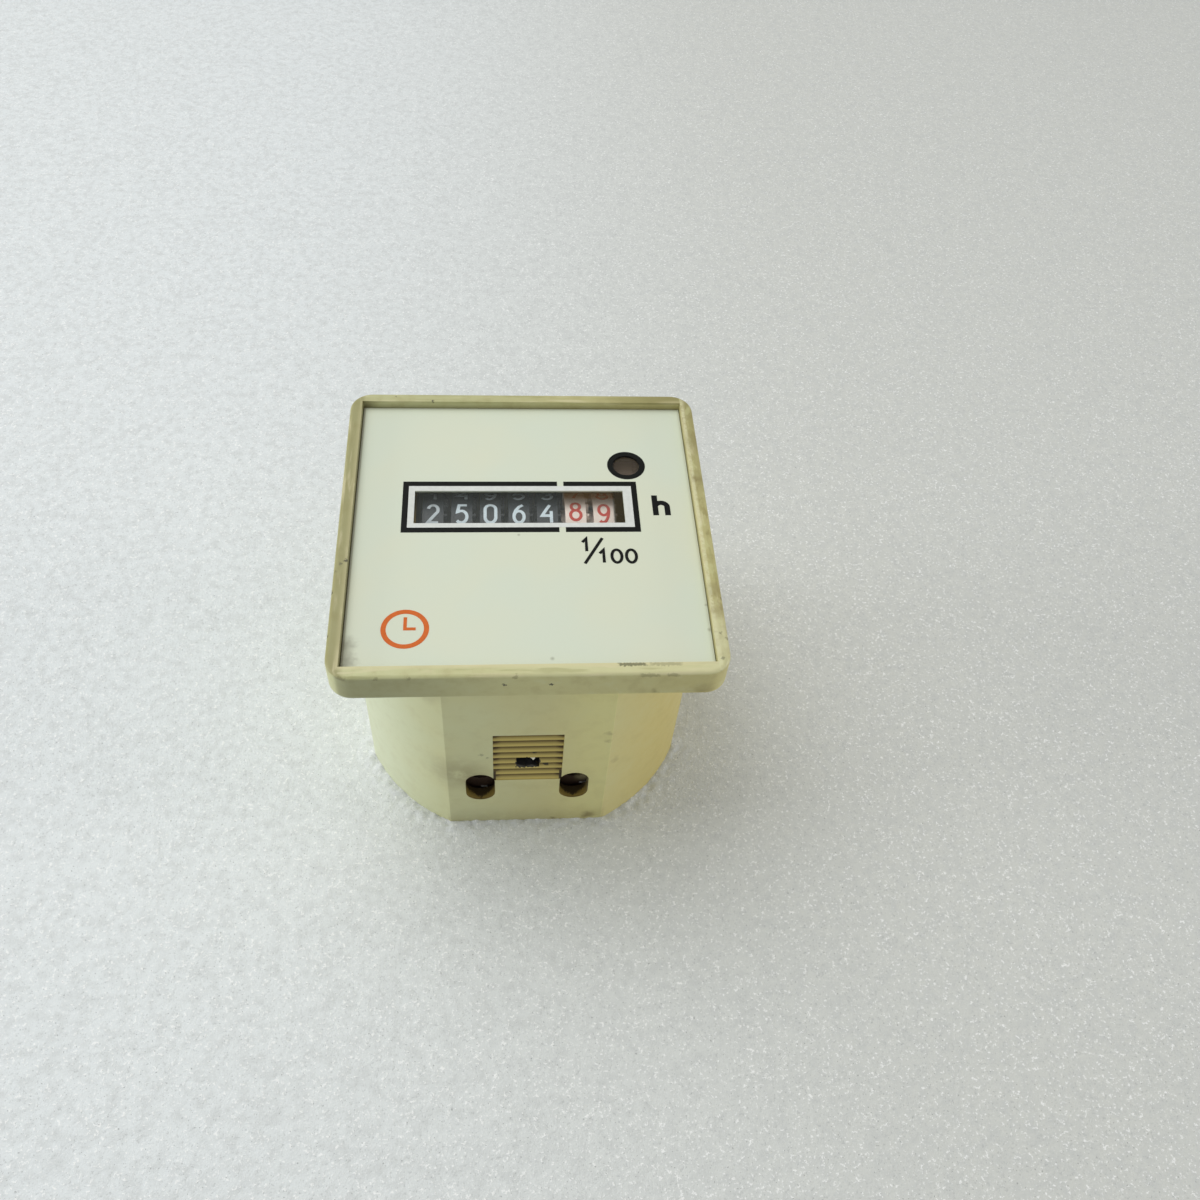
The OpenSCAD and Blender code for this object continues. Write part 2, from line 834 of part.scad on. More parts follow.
module rotor_magnet() {
    color(black)
        along_x(-magnet_len / 2, motor_axis)
            linear_extrude(magnet_len)
                difference() {
                    circle(d = magnet_d);
                    circle(d = rotor_shaft_d);
                }
}

module rotor_shaft() {
    color(steel)
        rod(-half_len, right_arm_x + sheet_t, motor_axis, rotor_shaft_d);
}

module rotor_pinion() {
    color(brass)
        along_x(plane_x(1) - leaf_overlap, motor_axis)
            linear_extrude(gear_t + 2 * leaf_overlap)
                difference() {
                    teeth_2d(leaf_teeth, gear_module, angle_to(motor_axis, gear_1_axis));
                    circle(d = rotor_shaft_d);
                }
}

module motor_pillars() {
    color(steel)
        for (a = pillar_angles)
            rod(half_len, right_arm_x, motor_axis + polar(pillar_ring_r, a), pillar_d);
}

// Clamp behind the wire slot at the side s, with a tail to the motor's lead tab
module terminal(s) {
    back = terminal_y + terminal_len / 2;
    top = terminal_z + terminal_h;
    tail_len = motor_axis[0] - lead_tab_r - end_play - back;
    tail_low = min(top - tail_h, motor_axis[1] - tail_h / 2);
    tail_high = max(top, motor_axis[1] + tail_h / 2);
    color(brass)
        difference() {
            union() {
                translate([s * slot_x - terminal_w / 2, terminal_y - terminal_len / 2, terminal_z])
                    cube([terminal_w, terminal_len, terminal_h]);
                translate([s * (flange_x - flange_t / 2) - flange_t / 2, back - eps, tail_low])
                    cube([flange_t, tail_len + eps, tail_high - tail_low]);
            }
            translate([s * slot_x, back + eps, slot_z])
                rotate([90, 0, 0])
                    cylinder(d = wire_d, h = terminal_len + 2 * eps);
            translate([s * slot_x, terminal_y, terminal_z - eps])
                cylinder(d = terminal_screw_d + 2 * fixed_gap, h = slot_z - terminal_z + eps);
        }
}

module terminal_left() {
    terminal(-1);
}

module terminal_right() {
    terminal(1);
}

module terminal_screws() {
    len = slot_z - wire_d / 2 - head_seat_z;
    color(steel)
        for (s = [-1, 1])
            translate([s * slot_x, terminal_y, head_seat_z])
                slotted_screw(terminal_screw_d, terminal_head_d, terminal_head_t, len);
}

housing();
rear_cover();
cover_screws();
front_pane();
dial_foil();
chassis();
wheel_shaft();
for (k = [1 : wheel_count])
    number_wheel(k);
pinion_shaft();
for (k = [1 : wheel_count - 1])
    transfer_pinion(k);
drive_gear();
gear_1();
gear_2();
gear_3();
gear_pins();
indicator_drum();
stator_cup_left();
stator_cup_right();
bobbin();
coil();
rotor_magnet();
rotor_shaft();
rotor_pinion();
motor_pillars();
terminal_left();
terminal_right();
terminal_screws();
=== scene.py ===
"""Looks of the panel hour meter: finishes, print, digits, wear, floor, light and camera."""

import json
from math import cos, pi, radians, sin

import bmesh
import bpy
from mathutils import Matrix, Vector, noise


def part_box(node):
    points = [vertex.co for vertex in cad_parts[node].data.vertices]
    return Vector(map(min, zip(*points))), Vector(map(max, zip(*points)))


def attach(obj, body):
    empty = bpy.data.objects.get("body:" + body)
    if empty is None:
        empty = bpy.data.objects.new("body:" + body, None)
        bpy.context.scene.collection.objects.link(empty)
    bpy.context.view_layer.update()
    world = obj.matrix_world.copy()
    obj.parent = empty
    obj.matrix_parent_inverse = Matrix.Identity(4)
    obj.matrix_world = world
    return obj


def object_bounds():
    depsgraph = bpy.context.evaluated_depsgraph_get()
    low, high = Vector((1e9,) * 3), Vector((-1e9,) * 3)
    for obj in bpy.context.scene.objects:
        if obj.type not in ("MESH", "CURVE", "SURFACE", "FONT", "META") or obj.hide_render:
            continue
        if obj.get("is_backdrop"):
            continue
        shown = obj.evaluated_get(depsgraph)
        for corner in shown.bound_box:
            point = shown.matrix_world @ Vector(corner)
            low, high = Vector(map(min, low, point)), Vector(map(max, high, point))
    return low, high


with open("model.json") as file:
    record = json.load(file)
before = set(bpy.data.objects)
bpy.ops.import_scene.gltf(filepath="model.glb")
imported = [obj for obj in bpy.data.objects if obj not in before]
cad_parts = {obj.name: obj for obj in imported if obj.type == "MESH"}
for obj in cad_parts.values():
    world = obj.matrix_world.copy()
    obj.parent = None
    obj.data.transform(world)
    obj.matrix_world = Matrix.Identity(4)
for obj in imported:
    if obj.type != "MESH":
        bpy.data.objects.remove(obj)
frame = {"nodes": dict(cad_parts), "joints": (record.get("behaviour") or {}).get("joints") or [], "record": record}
cad_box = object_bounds()

MM = 0.001

# Camera, in the part's frame: place, angles in degrees, lens and sensor in millimetres
CAMERA_AT = Vector((-3.79, -97.18, 150.42)) * MM
CAMERA_AZIMUTH = -8.441
CAMERA_ELEVATION = 52.273
CAMERA_ROLL = 6.180
LENS = 33.9
SENSOR = 36.0

# Lamps: name, place and size in metres, power and colour
LAMPS = (
    ("ceiling_light", (-0.3, 0.25, 0.75), 0.7, 3.6, (1.0, 1.0, 0.98)),
    ("window_light", (-0.9, 0.0, 0.14), 0.27, 3.2, (0.97, 0.99, 1.0)),
    ("far_light", (0.9, -0.05, 0.13), 0.25, 2.5, (1.0, 0.96, 0.88)),
)
SKY_COLOUR = (0.99, 1.0, 0.99, 1.0)
SKY_STRENGTH = 0.46

# The case in millimetres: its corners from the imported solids, the rest as in the part's source
_, case_high = (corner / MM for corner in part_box("housing"))
_, film_high = (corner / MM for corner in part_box("dial_foil"))
BEZEL_HALF = case_high.x
RIM_TOP = case_high.z
FACE_TOP = film_high.z
FACE_HALF = film_high.x
BODY_DEPTH = 36.2
BODY_R = 24.8
FLAT_Y = -22.3
WALL = 1.8
RACK_HALF = 4.65
RACK_BOTTOM, RACK_TOP = 12.2, 24.0
SLOT_X, SLOT_Z = 6.45, 10.25
BREAK_HALF, BREAK_Z = (1.6, 1.38), 16.65

# Dark nicks on the case: place in millimetres, reach and strength
NICKS = (
    ((-12.7, 22.45, 40.3), 0.4, 0.9),
    ((-17.8, 23.4, 40.4), 0.3, 0.6),
    ((-22.6, -6.5, 40.4), 0.45, 0.9),
    ((-23.2, -7.0, 40.4), 0.4, 0.6),
    ((-23.7, -8.2, 40.3), 0.35, 0.4),
    ((-24.0, -11.3, 40.2), 0.45, 0.8),
    ((-24.0, -17.8, 40.2), 0.4, 0.7),
    ((-3.15, -24.0, 38.5), 0.42, 1.0),
    ((2.4, -24.0, 38.45), 0.42, 1.0),
    ((23.8, -12.85, 40.2), 0.35, 0.6),
    ((23.1, -18.2, 40.4), 0.4, 0.5),
    ((23.8, -18.9, 40.2), 0.45, 0.6),
    ((22.9, -21.9, 40.4), 0.4, 0.5),
    ((-6.2, -22.3, 19.2), 0.5, 0.4),
    ((-5.4, -22.3, 18.4), 0.4, 0.4),
    ((0.9, -21.7, 19.0), 0.7, 1.0),
    ((2.5, -21.7, 15.8), 0.7, 1.0),
    ((3.4, -21.7, 23.7), 0.8, 1.0),
)
# Soft brown stains on the case, in the same form
STAINS = (
    ((-9.6, -22.3, 14.5), 6.0, 0.5),
    ((-6.5, -22.3, 12.5), 4.5, 0.3),
    ((6.5, -22.3, 12.0), 4.0, 0.25),
    ((-12.8, -21.3, 33.2), 3.4, 0.4),
    ((10.3, -22.3, 24.0), 0.8, 0.4),
    ((10.4, -22.3, 22.2), 0.8, 0.4),
    ((11.9, -22.3, 16.3), 1.2, 0.4),
    ((8.9, -22.3, 1.3), 1.6, 0.7),
    ((3.9, -22.3, 0.4), 0.7, 0.6),
    ((20.5, -24.0, 36.6), 2.2, 0.45),
    ((15.0, -24.0, 36.7), 0.8, 0.6),
    ((24.0, -17.5, 39.8), 1.0, 0.6),
    ((23.9, -20.5, 39.5), 1.4, 0.5),
    ((23.4, 7.6, 40.3), 1.9, 0.55),
    ((23.5, 14.5, 40.3), 2.6, 0.5),
    ((23.4, -11.6, 40.3), 2.0, 0.5),
    ((23.2, -14.7, 40.3), 1.8, 0.45),
)
# Dirt lines along the upper edge of the bezel's front: middle and half length
EDGE_LINES = ((-22.1, 0.9), (-18.0, 0.35), (-14.2, 0.3), (-1.9, 0.35), (14.0, 1.5), (16.8, 0.9))
# Grey smudges and specks on the film: place and reach
FILM_SMUDGES = (((-22.0, -18.6), 2.0), ((-21.6, -20.8), 1.8))
FILM_SPECKS = (((22.1, -16.8), 0.45), ((22.1, -13.0), 0.3), ((-1.05, -1.33), 0.3), ((2.6, -20.8), 0.4))
# Painted glints on the terminals, seen through the slots: x and z
TERMINAL_GLINTS = ((-5.98, 6.15), (8.0, 6.65))

# Print on the film, in millimetres; strokes that cross differ in height by a share of the ink
INK = 0.02
LAYER_SHARE = 0.15
FRAME_OUTER = (-16.2, -0.88, 14.95, 8.08)
FRAME_INNER = (-15.43, -0.05, 14.2, 7.26)
FRAME_GAP = (4.25, 5.1)
WINDOW = (-14.62, 0.7, 13.02, 6.4)
EYE = (13.86, 11.12)
EYE_RING = (1.84, 2.6)
SIGN_STROKE = 0.4
SMALL_ONE = (1.1, 2.1)
SMALL_ZERO = (0.64, 1.06)
HOURS_STROKE = 0.76
CLOCK_AT, CLOCK_R = (-15.0, -16.2), 2.9
CLOCK_RING, CLOCK_HAND = 0.62, 0.42
MINUTE_HAND, HOUR_HAND = 1.75, 1.3

# Digits on the wheels, in millimetres and degrees, from the last wheel to the first
READING = (9, 8, 4, 6, 0, 5, 2)
DIGIT_RISE = (-4.2, -1.2, -4.2, -4.2, -4.2, -4.2, -4.2)
DIGIT_PITCH = 36.0
DIGIT_SIZE = (1.42, 2.95)
PALE_STROKE, RED_STROKE = 0.43, 0.41
DIGIT_INK = 0.015
BEND_CUTS, BEND_STEP = 6, 0.25
WHEEL_R = 7.0
WHITE_WHEELS = 2
DRUM_BARS = 6

# Winding: wire in millimetres, and points round a turn and round the wire
WIRE = 0.3
TURN_POINTS, WIRE_POINTS = 72, 8

# Foam under the part, in millimetres: the wide sheet, the finer square in its middle,
# and the grains that are pressed up beside the foot
SHEET_HALF = 1500.0
FOAM_HALF, FOAM_CELLS = 40.0, 200
FOAM_REACH, FOAM_UNDER = 5.0, 0.4
FOAM_RISE = 0.24
COARSE_GRAIN, FINE_GRAIN = 0.9, 2.3
FINE_LAYER = 7.0


class Field:
    """One value over a surface. Arithmetic on it adds Math nodes to its tree."""

    def __init__(self, socket):
        self.socket = socket

    def math(self, operation, *others):
        """A Math node on this value and the others."""
        values = dict(enumerate((self, *others)))
        return add_node(self.socket.id_data, "ShaderNodeMath", {"operation": operation}, values)

    def __add__(self, other):
        return self.math("ADD", other)

    def __sub__(self, other):
        return self.math("SUBTRACT", other)

    def __rsub__(self, other):
        return (self * -1) + other

    def __mul__(self, other):
        return self.math("MULTIPLY", other)

    def max(self, other):
        return self.math("MAXIMUM", other)

    def min(self, other):
        return self.math("MINIMUM", other)

    def abs(self):
        return self.math("ABSOLUTE")

    def step(self, low, high):
        """0 below low, 1 above high, smooth between them; falling where low is the larger."""
        smooth = {"interpolation_type": "SMOOTHSTEP"}
        limits = {"Value": self, "From Min": low, "From Max": high}
        return add_node(self.socket.id_data, "ShaderNodeMapRange", smooth, limits)

    def band(self, middle, half, core):
        """1 within the core round a middle, falling to 0 at the half width."""
        return (self - middle).abs().step(half, core)


def add_node(tree, kind, settings=None, values=None, out=0):
    """Adds a node, sets its settings and then its sockets, and returns one of its outputs."""
    node = tree.nodes.new(kind)
    for name, value in (settings or {}).items():
        setattr(node, name, value)
    for key, value in (values or {}).items():
        if isinstance(value, Field):
            tree.links.new(value.socket, node.inputs[key])
        else:
            node.inputs[key].default_value = value
    return Field(node.outputs[out])


class Finish:
    """A material with one Principled shader, fed from the piece's own coordinates in millimetres."""

    def __init__(self, name, **constants):
        self.material = bpy.data.materials.new(name)
        self.material.use_nodes = True
        self.tree = self.material.node_tree
        self.shader = self.tree.nodes["Principled BSDF"]
        for key, value in constants.items():
            self.shader.inputs[key.replace("_", " ")].default_value = value
        metres = self.node("ShaderNodeTexCoord", out="Object")
        self.place = self.vector("SCALE", {0: metres, "Scale": 1 / MM})
        self.x, self.y, self.z = self.axes(self.place)

    def node(self, kind, settings=None, values=None, out=0):
        """A node in this material."""
        return add_node(self.tree, kind, settings, values, out)

    def vector(self, operation, values, out=0):
        """A Vector Math node."""
        return self.node("ShaderNodeVectorMath", {"operation": operation}, values, out)

    def axes(self, place):
        """The three coordinates of a place."""
        return [self.node("ShaderNodeSeparateXYZ", None, {0: place}, axis) for axis in "XYZ"]

    def noise(self, size, detail=3.0, roughness=0.55, stretch=(1, 1, 1), seed=0.0):
        """Noise with features of about the given size in millimetres, drawn out along the axes by stretch."""
        shift = (seed * 17.3, seed * 5.1, seed * -9.7)
        scale = tuple(1 / (size * s) for s in stretch)
        at = self.node("ShaderNodeMapping", None, {"Vector": self.place, "Location": shift, "Scale": scale})
        values = {"Vector": at, "Scale": 1.0, "Detail": detail, "Roughness": roughness}
        return self.node("ShaderNodeTexNoise", None, values)

    def ragged(self, size, amount):
        """The place in millimetres, pushed about by noise, for marks with uneven outlines."""
        values = {"Vector": self.place, "Scale": 1 / size, "Detail": 2.0}
        push = self.node("ShaderNodeTexNoise", None, values, "Color")
        push = self.vector("SUBTRACT", {0: push, 1: (0.5, 0.5, 0.5)})
        push = self.vector("SCALE", {0: push, "Scale": amount})
        return self.vector("ADD", {0: self.place, 1: push})

    def near(self, spot, reach, place=None):
        """1 at a spot in millimetres, falling to 0 at the reach."""
        distance = self.vector("DISTANCE", {0: place or self.place, 1: spot}, "Value")
        return distance.step(reach, 0.0)

    def mix(self, share, first, second):
        """The first colour, with a share of the second over it."""
        return self.node("ShaderNodeMix", {"data_type": "RGBA"}, {0: share, 6: first, 7: second}, 2)

    def colour(self, value):
        """Feeds the shader's colour."""
        self.feed("Base Color", value)

    def roughness(self, value):
        """Feeds the shader's roughness."""
        self.feed("Roughness", value)

    def bump(self, height, depth, strength=1.0):
        """Relief of the given depth in millimetres where height runs from 0 to 1."""
        values = {"Height": height, "Distance": depth * MM, "Strength": strength}
        self.feed("Normal", self.node("ShaderNodeBump", None, values))

    def feed(self, socket, value):
        """Links a value to one of the shader's sockets."""
        self.tree.links.new(value.socket, self.shader.inputs[socket])


def rgb(red, green, blue):
    """A colour written as it looks on a screen, from 0 to 255, as the shader needs it."""
    return tuple(linear(c / 255) for c in (red, green, blue)) + (1.0,)


def linear(c):
    """One channel of a screen colour as linear light."""
    return c / 12.92 if c <= 0.04045 else ((c + 0.055) / 1.055) ** 2.4


class CasePlastic(Finish):
    """Yellowed ivory moulding with scuffed edges, dirt and painted shade in its recesses, and painted light on the
    body and along the rim's inner edge, laid on in layers.
    """

    def __init__(self):
        super().__init__("case_plastic", IOR=1.5)
        self.across = self.x.abs()
        self.reach = self.across.max(self.y.abs())
        self.depth = self.y - FLAT_Y
        self.top = self.z.step(RIM_TOP - 0.5, RIM_TOP - 0.15)
        self.blotch = self.noise(2.4, 4, 0.6, seed=1)
        self.fine = self.noise(0.5, 3, 0.6, seed=2)
        self.patchy = self.ragged(1.2, 1.6)
        self.torn = self.ragged(0.3, 0.8)
        self.torn_x, self.torn_y, self.torn_z = self.axes(self.torn)
        layers = (
            self.rim_sides, self.rim_streaks, self.rim_inner_highlight, self.rim_right, self.rim_marks,
            self.rim_foot, self.bezel_front, self.rack, self.slots,
            self.stains, self.nicks, self.broken_ribs, self.inner_walls,
        )
        colour = self.aged_ivory()
        for layer in layers:
            colour = layer(colour)
        self.colour(colour)
        self.roughness(self.fine * 0.16 + self.blotch * 0.14 + 0.34)
        self.bump(self.fine * 0.6 + self.blotch * 0.4, 0.025, 0.5)

    def aged_ivory(self):
        """Paler on the left of the body, partly as painted light from the low lamp at the left, ochre on its
        right, with painted light lifting the right of the flat, mottled most on the bezel.
        """
        cloud = self.noise(9, 3)
        # Yellower towards the right of the case, with a cloudy spread
        yellow_to_right = self.x.step(-25, 24) * 0.9 + (cloud - 0.5) * 0.6
        bezel = self.z.step(BODY_DEPTH - 0.4, BODY_DEPTH + 0.4)
        body = 1 - bezel
        yellow = self.mix(bezel, rgb(210, 198, 134), rgb(195, 187, 128))
        pale = self.mix(bezel, rgb(206, 209, 165), rgb(200, 201, 152))
        colour = self.mix(yellow_to_right, pale, yellow)
        # Painted light: the left of the body paler, partly less yellow plastic and partly the light of the low
        # lamp at the left
        colour = self.mix(self.x.step(-11, -22) * body * 0.8, colour, rgb(214, 220, 190))
        colour = self.mix(self.x.step(10, 20) * body * 0.55, colour, rgb(196, 178, 100))
        # Painted light: the right of the flat painted lighter
        on_flat = self.depth.step(0.04, 0.01) * body
        colour = self.mix(on_flat * self.x.step(1, 10) * 0.75, colour, rgb(226, 221, 153))
        mottle = bezel * 0.2 + 0.1
        colour = self.mix(self.blotch.step(0.46, 0.7) * mottle, colour, rgb(164, 152, 102))
        return self.mix(self.blotch.step(0.48, 0.28) * mottle, colour, rgb(204, 206, 164))

    def rim_sides(self, colour):
        """A pale front, dull other sides, and the dullest place at the far right corner."""
        front = self.y.step(-21.5, -22.5) * self.x.step(-9, 3)
        colour = self.mix(self.top * front * 0.7, colour, rgb(213, 212, 165))
        left = self.x.step(-21.5, -22.6) * 0.72
        right = self.x.step(22.2, 22.8) * (self.y.step(-4, 16) * 0.3 + 0.2)
        far = self.y.step(21.5, 22.6) * 0.22
        corner = self.near((21, 23.5, RIM_TOP), 16, self.patchy) * 0.8
        dull = (left + right).max(corner).max(far)
        return self.mix(self.top * dull, colour, rgb(134, 127, 76))

    def rim_streaks(self, colour):
        """Light and dark streaks along each side of the rim."""
        sides = self.across.step(FACE_HALF, FACE_HALF + 0.3)
        along_x = self.noise(0.8, 3, stretch=(9, 1, 1), seed=3)
        along_y = self.noise(0.8, 3, stretch=(1, 9, 1), seed=4)
        streak = along_y * sides + along_x * (1 - sides)
        colour = self.mix(self.top * streak.step(0.54, 0.72) * 0.45, colour, rgb(222, 213, 174))
        return self.mix(self.top * streak.step(0.46, 0.3) * 0.4, colour, rgb(148, 146, 90))

    def rim_inner_highlight(self, colour):
        """A painted highlight on the edge beside the film, where the rounded edge would catch the light, brightest
        at the right and the front.
        """
        edge = self.top * self.reach.step(FACE_HALF + 0.8, FACE_HALF + 0.2)
        # Painted highlight, strongest on the right and front sides of the rim
        highlit_sides = self.x.step(18, 21.5).max(self.y.step(-18, -21.5))
        return self.mix(edge * (highlit_sides * 0.3 + self.y.step(22, 20) * 0.2), colour, rgb(222, 212, 168))

    def rim_right(self, colour):
        """Mottled right side of the rim, with a painted highlight along the rounded edge beside the film, where it
        would catch the light from the left.
        """
        side = self.top * self.x.step(22.1, 22.5)
        mottle = self.noise(1.1, 3, stretch=(1, 2.2, 1), seed=6)
        colour = self.mix(side * mottle.step(0.52, 0.64) * 0.5, colour, rgb(138, 124, 72))
        colour = self.mix(side * mottle.step(0.46, 0.36) * 0.4, colour, rgb(206, 206, 152))
        # Painted highlight along the edge beside the film, broken up by the grain
        highlight_line = self.top * self.x.band(FACE_HALF + 0.35, 0.35, 0.1)
        return self.mix(highlight_line * self.fine.step(0.3, 0.6) * 0.55, colour, rgb(226, 226, 184))

    def rim_marks(self, colour):
        """A rubbed front right corner, and dark smears beside the film at the front."""
        corner = self.near((23.2, -19.5, RIM_TOP), 7, self.patchy)
        colour = self.mix(self.top * corner * 0.6, colour, rgb(214, 213, 172))
        smears = self.torn_x.band(12.0, 1.8, 1.4) * 0.75 + self.torn_x.band(16.0, 2.2, 1.6) * 0.35
        smears = smears * self.torn_y.band(-FACE_HALF - 0.35, 0.3, 0.15)
        return self.mix(self.top * smears, colour, rgb(84, 86, 54))

    def rim_foot(self, colour):
        """Dirt and painted shade on the inner wall of the rim: darker at its foot against the film, and most on
        the left wall, which faces away from the lamp at the left.
        """
        wall = self.reach.step(FACE_HALF + 0.16, FACE_HALF + 0.12) * self.z.step(FACE_TOP - 0.1, FACE_TOP)
        foot = self.z.step(RIM_TOP - 0.1, FACE_TOP + 0.2)
        left = self.x.step(-20, -22)
        # Dirt and painted shade, at the wall's foot and on the left wall
        return self.mix(wall * (foot * 0.3 + left * 0.45), colour, rgb(80, 66, 28))

    def bezel_front(self, colour):
        """Grey dirt and painted shade on the left of the front, where little light reaches it, and broken dirt
        lines along its upper edge.
        """
        front = self.y.step(-BEZEL_HALF + 0.8, -BEZEL_HALF + 0.3)
        front = front * self.z.step(BODY_DEPTH - 0.3, BODY_DEPTH + 0.1)
        # Dirt and painted shade: the front darker towards its left
        dirt_and_shade = front * (1 - self.top) * self.x.step(2, -20)
        colour = self.mix(dirt_and_shade * 0.5, colour, rgb(104, 100, 62))
        lines = 0.0
        for middle, half in EDGE_LINES:
            lines = self.torn_x.band(middle, half, half * 0.5) + lines
        edge = front * self.torn_z.band(RIM_TOP - 0.4, 0.3, 0.15)
        return self.mix(edge * lines * 0.4, colour, rgb(100, 92, 56))

    def rack(self, colour):
        """Dirt on the rack's ribs, and dirt and painted shade in its grooves, darker the deeper they go and
        towards the rack's ends.
        """
        inside = self.across.step(RACK_HALF + 0.02, RACK_HALF - 0.02)
        inside = inside * self.z.step(RACK_BOTTOM - 0.1, RACK_BOTTOM) * self.z.step(RACK_TOP + 0.1, RACK_TOP)
        inside = inside * self.depth.step(WALL, WALL - 0.1) * self.depth.step(0.0, 0.08)
        ends = self.across.step(RACK_HALF - 1.2, RACK_HALF) * 0.5
        colour = self.mix(inside * 0.85, colour, rgb(206, 184, 96))
        # Dirt and painted shade: darker with depth into the grooves and towards the rack's ends
        dirt_and_shade = self.depth.step(0.18, 0.62) * 0.95 + self.depth.step(0.1, 0.5) * ends
        return self.mix(inside * dirt_and_shade, colour, rgb(78, 58, 8))

    def slots(self, colour):
        """Ochre dirt in the wire slots; black above it and in a point below, soot and painted shade where the slot
        looks into the dark case; dust in the right one.
        """
        aside = (self.across - SLOT_X).abs()
        inside = aside.step(2.2, 2.1) * self.z.band(SLOT_Z, 4.0, 3.7)
        inside = inside * self.depth.step(0.02, 0.08) * self.depth.step(WALL + 0.2, WALL)
        point = (self.torn_y - aside * 0.5).step(FLAT_Y + 0.1, FLAT_Y + 0.6)
        # Soot and painted shade: black in the slot's upper part and in a point deeper down
        black = point.max(self.z.step(8.5, 10.5))
        dust = self.x.step(6.6, 7.8) * self.z.step(7.2, 9.0)
        mouth = self.depth.step(0.3, 0.1)
        colour = self.mix(inside * 0.9, colour, rgb(154, 128, 52))
        colour = self.mix(inside * black * 0.9, colour, rgb(34, 24, 14))
        colour = self.mix(inside * dust * 0.8, colour, rgb(150, 140, 100))
        return self.mix(inside * mouth * 0.55, colour, rgb(84, 66, 30))

    def stains(self, colour):
        """Soft brown stains, and the flat darker towards its foot."""
        # The flat darker towards its foot
        patches = self.depth.abs().step(0.3, 0.1) * self.z.step(5, 0) * 0.3
        for spot, size, strength in STAINS:
            patches = self.near(spot, size, self.patchy) * strength + patches
        return self.mix(patches.min(1.0) * self.blotch.step(0.2, 0.5) * 0.8, colour, rgb(116, 98, 54))

    def nicks(self, colour):
        """Small dark nicks with torn outlines."""
        marks = 0.0
        for spot, size, strength in NICKS:
            marks = self.near(spot, size, self.torn).step(0.1, 0.7) * strength + marks
        return self.mix(marks.min(1.0) * 0.9, colour, rgb(36, 32, 22))

    def broken_ribs(self, colour):
        """Faces of the break painted black, as painted shade in the hole."""
        half_x, half_z = BREAK_HALF
        inside = self.torn_x.abs().step(half_x, half_x - 0.05) * self.depth.step(WALL + 0.3, WALL)
        inside = inside * self.torn_z.band(BREAK_Z, half_z, half_z - 0.05)
        # Painted shade: the faces inside the break black
        return self.mix(inside * 0.95, colour, rgb(34, 34, 38))

    def inner_walls(self, colour):
        """The inner walls of the case coloured dark brown."""
        radius = (self.x * self.x + self.y * self.y).math("SQRT")
        inside = self.reach.step(20.6, 20.3) * radius.step(22.8, 22.5)
        inside = inside * self.z.step(2.6, 3.2) * self.z.step(37.6, 37.2)
        return self.mix(inside * 0.85, colour, rgb(96, 74, 44))


def film_sheet():
    """Matt printed film, greenish white, with grey smudges beside the rim, painted shade along the rim, and dirt
    and painted shade at its left edge.
    """
    f = Finish("film_sheet", IOR=1.45, Specular_IOR_Level=0.35)
    colour = f.mix(f.noise(16, 2).step(0.3, 0.7), rgb(217, 225, 207), rgb(221, 225, 203))
    ragged = f.ragged(0.7, 1.4)
    smudge = 0.0
    for spot, size in FILM_SMUDGES:
        smudge = f.near((*spot, FACE_TOP), size, ragged) + smudge
    for spot, size in FILM_SPECKS:
        smudge = f.near((*spot, FACE_TOP), size) * 0.8 + smudge
    colour = f.mix(smudge.min(1.0) * 0.6, colour, rgb(122, 120, 100))
    # Painted shade: the film greyer near the rim all round
    rim_shade = f.x.abs().max(f.y.abs()).step(FACE_HALF - 0.5, FACE_HALF)
    colour = f.mix(rim_shade * 0.35, colour, rgb(140, 140, 112))
    # Dirt and painted shade: a brown line along the left edge, under the left wall
    left_dirt_and_shade = f.x.step(-FACE_HALF + 0.35, -FACE_HALF + 0.15)
    colour = f.mix(left_dirt_and_shade * 0.4, colour, rgb(84, 70, 36))
    eye_edge = f.near((*EYE, FACE_TOP), EYE_RING[1]).step(0.08, 0.12)
    f.colour(f.mix(eye_edge, colour, rgb(18, 20, 18)))
    grain = f.noise(0.25, 2)
    f.roughness(grain * 0.1 + 0.4)
    f.bump(grain, 0.004, 0.5)
    return f.material


def ink_print(name, colour):
    """Printed ink that has faded a little unevenly."""
    f = Finish(name, IOR=1.45, Specular_IOR_Level=0.12)
    light = tuple(min(1.0, c * 1.35 + 0.004) for c in colour[:3]) + (1.0,)
    f.colour(f.mix(f.noise(0.6, 4), colour, light))
    f.roughness(f.noise(0.3, 2) * 0.15 + 0.35)
    return f.material


def wheel_plastic(name, colour, worn):
    """Moulded wheel, dusted and rubbed a little."""
    f = Finish(name, IOR=1.5)
    dust = f.noise(0.7, 5, 0.65)
    f.colour(f.mix(dust.step(0.45, 0.75) * 0.4, colour, worn))
    f.roughness(dust * 0.2 + 0.35)
    f.bump(dust, 0.01, 0.4)
    return f.material


def metal(name, colour, dull, stretch, roughness):
    """Plated or plain metal with drawn lines and a dull bloom."""
    f = Finish(name, Metallic=1.0)
    lines = f.noise(0.25, 3, stretch=stretch)
    bloom = f.noise(2.5, 4, seed=1)
    f.colour(f.mix(bloom.step(0.4, 0.75) * 0.6, colour, dull))
    f.roughness(lines * 0.2 + bloom * 0.12 + roughness)
    f.bump(lines, 0.006, 0.5)
    return f.material


